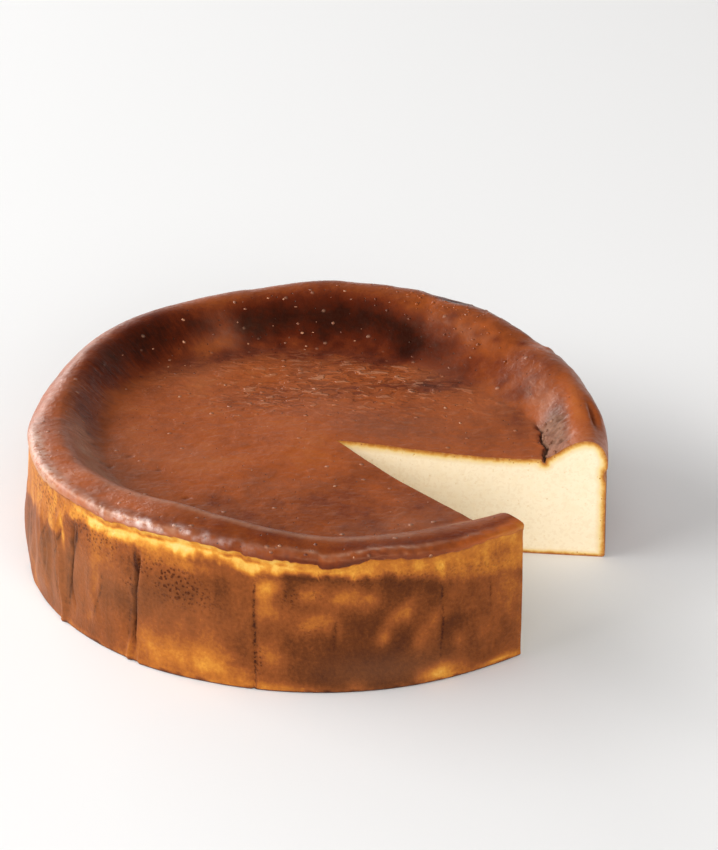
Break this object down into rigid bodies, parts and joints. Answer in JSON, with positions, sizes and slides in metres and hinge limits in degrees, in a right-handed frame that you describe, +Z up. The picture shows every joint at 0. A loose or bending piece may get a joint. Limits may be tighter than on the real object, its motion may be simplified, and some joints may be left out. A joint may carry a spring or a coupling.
{
  "type": "basque burnt cheesecake",
  "caption": "Round baked cheesecake with a burnt brown top, raised uneven rim, creased sides and one wedge cut out.",
  "frame": {"origin": "centre of the round base, on the surface that the cake stands on", "axes": "+Z up through the cake; -Y towards the side that is seen in front; the missing wedge opens towards +X and a little -Y"},
  "size_m": [0.2181, 0.2277, 0.0587],
  "materials": {
    "burnt_crust": "satin, dark reddish brown",
    "browned_side": "dull, mottled amber and brown",
    "custard": "dull, pale cream with fine pores"
  },
  "bodies": {
    "root": {"cheesecake": "burnt_crust"}
  },
  "joints": []
}
